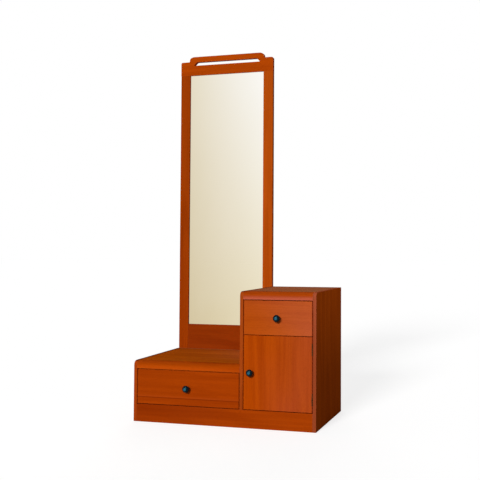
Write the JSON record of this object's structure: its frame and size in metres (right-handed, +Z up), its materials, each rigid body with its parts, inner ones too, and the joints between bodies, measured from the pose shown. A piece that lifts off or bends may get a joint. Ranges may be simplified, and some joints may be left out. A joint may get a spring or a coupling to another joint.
{
  "type": "dresser",
  "caption": "Stepped wooden dresser: a low drawer chest beside a taller chest with drawer and door, and a tall framed mirror with a loop at its head standing behind the low chest.",
  "frame": {"origin": "middle of the footprint's bounding box, on the floor", "axes": "+X to the right when facing the drawers, -Y out of the front, +Z up"},
  "size_m": [0.882, 0.4456, 1.8],
  "materials": {
    "carcass_wood": "satin cherry-stained veneer",
    "front_wood": "satin cherry-stained veneer",
    "mirror_frame_wood": "satin cherry-stained veneer",
    "inside_board": "matt laminate, lighter than the outside",
    "drawer_wood": "clear-lacquered pale wood",
    "runner_wood": "bare hardwood",
    "hardboard": "matt hardboard",
    "mirror_glass": "silvered glass",
    "knob_black": "glossy black",
    "hinge_bronze": "dark bronze plating",
    "catch_plastic": "brown moulded plastic",
    "steel": "zinc-plated"
  },
  "bodies": {
    "carcass": {"left_side_panel": "carcass_wood", "middle_side_panel": "carcass_wood", "right_side_panel": "carcass_wood", "low_front_rail": "carcass_wood", "tall_front_rail": "carcass_wood", "low_top_panel": "carcass_wood", "tall_top_panel": "carcass_wood", "front_plinth": "carcass_wood", "low_bottom_panel": "inside_board", "tall_bottom_panel": "inside_board", "low_rear_plinth": "inside_board", "tall_rear_plinth": "inside_board", "divider_panel": "inside_board", "low_back_panel": "hardboard", "tall_back_panel": "hardboard", "shelf": "inside_board", "shelf_pin_front_left": "steel", "shelf_pin_rear_left": "steel", "shelf_pin_front_right": "steel", "shelf_pin_rear_right": "steel", "low_drawer_runner_left": "runner_wood", "low_drawer_runner_right": "runner_wood", "tall_drawer_runner_left": "runner_wood", "tall_drawer_runner_right": "runner_wood", "mirror_left_stile": "mirror_frame_wood", "mirror_right_stile": "mirror_frame_wood", "mirror_head": "mirror_frame_wood", "mirror_lower_panel": "mirror_frame_wood", "mirror_glass": "mirror_glass", "mirror_back_board": "hardboard", "mirror_bead_left": "runner_wood", "mirror_bead_right": "runner_wood", "mirror_bead_top": "runner_wood", "mirror_bead_bottom": "runner_wood", "mirror_screw_upper_left": "steel", "mirror_screw_lower_left": "steel", "mirror_screw_upper_right": "steel", "mirror_screw_lower_right": "steel", "hinge_panel_leaf_upper": "hinge_bronze", "hinge_panel_leaf_lower": "hinge_bronze", "hinge_pin_upper": "hinge_bronze", "hinge_pin_lower": "hinge_bronze", "door_catch": "catch_plastic"},
    "door": {"door_panel": "front_wood", "door_knob": "knob_black", "door_strike_plate": "steel", "hinge_door_leaf_upper": "hinge_bronze", "hinge_door_leaf_lower": "hinge_bronze"},
    "low_drawer": {"low_drawer_front": "front_wood", "low_drawer_left_side": "drawer_wood", "low_drawer_right_side": "drawer_wood", "low_drawer_back": "drawer_wood", "low_drawer_bottom": "hardboard", "low_drawer_knob": "knob_black"},
    "tall_drawer": {"tall_drawer_front": "front_wood", "tall_drawer_left_side": "drawer_wood", "tall_drawer_right_side": "drawer_wood", "tall_drawer_back": "drawer_wood", "tall_drawer_bottom": "hardboard", "tall_drawer_knob": "knob_black"}
  },
  "joints": [
    {"name": "low_drawer_slide", "type": "slide", "parent": "carcass", "child": "low_drawer", "axis": [0, -1, 0], "range_m": [0, 0.28]},
    {"name": "tall_drawer_slide", "type": "slide", "parent": "carcass", "child": "tall_drawer", "axis": [0, -1, 0], "range_m": [0, 0.28]},
    {"name": "door_hinge", "type": "hinge", "parent": "carcass", "child": "door", "pos_m": [0.4235, -0.2002, 0.2465], "axis": [0, 0, 1], "range_deg": [0, 170]}
  ]
}
